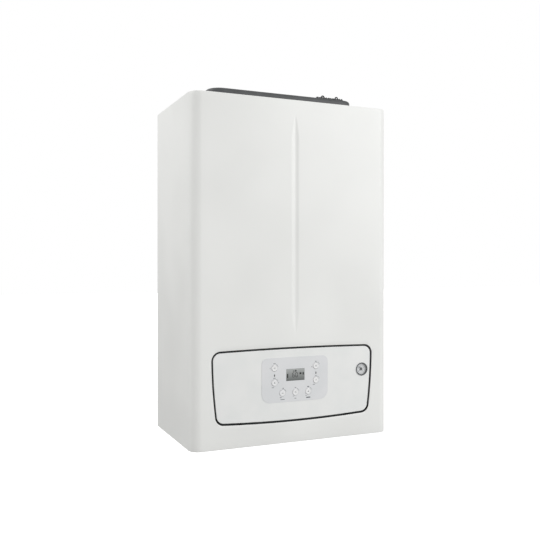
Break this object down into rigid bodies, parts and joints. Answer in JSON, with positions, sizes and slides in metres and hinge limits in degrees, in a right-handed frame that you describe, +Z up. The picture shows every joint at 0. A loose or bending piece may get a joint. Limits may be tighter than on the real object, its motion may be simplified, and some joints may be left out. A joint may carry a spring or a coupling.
{
  "type": "wall-hung condensing boiler with premix burner assembly",
  "caption": "Wall-hung condensing boiler: white sheet casing, lift-off front cover, tilting control panel, premix burner, heat exchanger and water side inside.",
  "frame": {"origin": "middle of the casing's width, on the wall plane, level with the casing's bottom edge", "axes": "+Z up, +Y into the wall, the front faces -Y"},
  "size_m": [0.44, 0.2657, 0.736],
  "materials": {
    "white_enamel": "satin white powder coat",
    "galvanised": "galvanised sheet",
    "dark_sheet": "dark grey powder-coated sheet",
    "dark_plastic": "dark grey moulded plastic",
    "dark_screw": "blackened steel",
    "rubber": "dark grey sealing rubber",
    "cast_aluminium": "die-cast aluminium",
    "stainless": "stainless steel",
    "ceramic_fibre": "pressed ceramic fibre",
    "ceramic_white": "electrode porcelain",
    "impeller_plastic": "glass-filled plastic",
    "copper": "drawn copper",
    "brass": "forged brass",
    "cast_iron_black": "black coated cast iron",
    "vessel_red": "red enamel",
    "red_plastic": "red moulded plastic",
    "blue_plastic": "blue moulded plastic",
    "trap_plastic": "natural polypropylene",
    "fascia_white": "fine-grained white moulding",
    "membrane_grey": "light grey printed film",
    "lcd_grey": "grey display glass",
    "button_white": "smooth white moulding",
    "circuit_green": "solder-masked circuit board",
    "gauge_rim": "satin black rim",
    "needle_black": "black needle",
    "clear_lens": "clear lens"
  },
  "bodies": {
    "case": {"rear_frame": "galvanised", "wall_bracket": "galvanised", "side_panel_left": "white_enamel", "side_panel_right": "white_enamel", "top_plate": "galvanised", "base_plate": "dark_sheet", "top_hood": "dark_plastic", "flue_adapter": "cast_aluminium", "flue_seals": "rubber", "sampling_caps": "dark_plastic", "intake_blank": "dark_plastic", "hood_screws": "dark_screw", "exchanger_shell": "stainless", "exchanger_coil": "stainless", "burner_door": "cast_aluminium", "door_insulation": "ceramic_fibre", "door_nuts": "stainless", "burner_tube": "stainless", "electrodes": "ceramic_white", "fan_housing": "cast_aluminium", "fan_motor": "dark_plastic", "air_gas_mixer": "dark_plastic", "gas_valve": "cast_aluminium", "gas_pipe": "brass", "air_silencer": "dark_plastic", "flue_duct": "stainless", "expansion_vessel": "vessel_red", "pump_body": "cast_iron_black", "plate_exchanger": "copper", "diverter_motor": "dark_plastic", "supply_block": "brass", "return_block": "brass", "flow_pipe": "copper", "return_pipe": "copper", "safety_valve": "brass", "condensate_trap": "trap_plastic", "connection_tails": "brass"},
    "front_cover": {"front_cover": "white_enamel", "cover_clips": "dark_plastic"},
    "control_panel": {"fascia": "fascia_white", "panel_seal": "rubber", "control_box": "dark_plastic", "membrane": "membrane_grey", "lcd_window": "lcd_grey", "control_board": "circuit_green", "gauge_case": "gauge_rim", "gauge_lens": "clear_lens"},
    "button_1": {"button_1": "button_white"},
    "button_2": {"button_2": "button_white"},
    "button_3": {"button_3": "button_white"},
    "button_4": {"button_4": "button_white"},
    "button_5": {"button_5": "button_white"},
    "button_6": {"button_6": "button_white"},
    "button_7": {"button_7": "button_white"},
    "gauge_needle": {"gauge_needle": "needle_black"},
    "fan_impeller": {"fan_impeller": "impeller_plastic"},
    "pump_rotor": {"pump_rotor": "stainless"},
    "diverter_stem": {"diverter_stem": "stainless"},
    "safety_knob": {"safety_knob": "red_plastic"},
    "filling_knob": {"filling_knob": "blue_plastic"}
  },
  "joints": [
    {"name": "cover_lift_off", "type": "slide", "parent": "case", "child": "front_cover", "axis": [0, -1, 0], "range_m": [0, 0.35]},
    {"name": "panel_tilt", "type": "hinge", "parent": "case", "child": "control_panel", "pos_m": [0, -0.2595, 0.04], "axis": [1, 0, 0], "range_deg": [0, 90]},
    {"name": "button_1_press", "type": "slide", "parent": "control_panel", "child": "button_1", "axis": [0, 1, 0], "range_m": [0, 0.001], "stiffness_N_per_m": 800, "springref_m": -0.0005},
    {"name": "button_2_press", "type": "slide", "parent": "control_panel", "child": "button_2", "axis": [0, 1, 0], "range_m": [0, 0.001], "stiffness_N_per_m": 800, "springref_m": -0.0005},
    {"name": "button_3_press", "type": "slide", "parent": "control_panel", "child": "button_3", "axis": [0, 1, 0], "range_m": [0, 0.001], "stiffness_N_per_m": 800, "springref_m": -0.0005},
    {"name": "button_4_press", "type": "slide", "parent": "control_panel", "child": "button_4", "axis": [0, 1, 0], "range_m": [0, 0.001], "stiffness_N_per_m": 800, "springref_m": -0.0005},
    {"name": "button_5_press", "type": "slide", "parent": "control_panel", "child": "button_5", "axis": [0, 1, 0], "range_m": [0, 0.001], "stiffness_N_per_m": 800, "springref_m": -0.0005},
    {"name": "button_6_press", "type": "slide", "parent": "control_panel", "child": "button_6", "axis": [0, 1, 0], "range_m": [0, 0.001], "stiffness_N_per_m": 800, "springref_m": -0.0005},
    {"name": "button_7_press", "type": "slide", "parent": "control_panel", "child": "button_7", "axis": [0, 1, 0], "range_m": [0, 0.001], "stiffness_N_per_m": 800, "springref_m": -0.0005},
    {"name": "needle_swing", "type": "hinge", "parent": "control_panel", "child": "gauge_needle", "pos_m": [0.156, -0.262, 0.14], "axis": [0, 1, 0], "range_deg": [-90, 180], "stiffness_Nm_per_rad": 0.001},
    {"name": "fan_spin", "type": "hinge", "parent": "case", "child": "fan_impeller", "pos_m": [-0.145, -0.21, 0.5], "axis": [0, -1, 0], "continuous": true},
    {"name": "pump_spin", "type": "hinge", "parent": "case", "child": "pump_rotor", "pos_m": [0.119, -0.13, 0.152], "axis": [0, -1, 0], "continuous": true},
    {"name": "diverter_lift", "type": "slide", "parent": "case", "child": "diverter_stem", "axis": [0, 0, 1], "range_m": [0, 0.006]},
    {"name": "safety_turn", "type": "hinge", "parent": "case", "child": "safety_knob", "pos_m": [0.062, -0.11, 0.13], "axis": [0, 0, 1], "range_deg": [0, 90]},
    {"name": "filling_turn", "type": "hinge", "parent": "case", "child": "filling_knob", "pos_m": [0.0975, -0.11, 0.012], "axis": [0, 0, 1], "range_deg": [0, 90]}
  ]
}
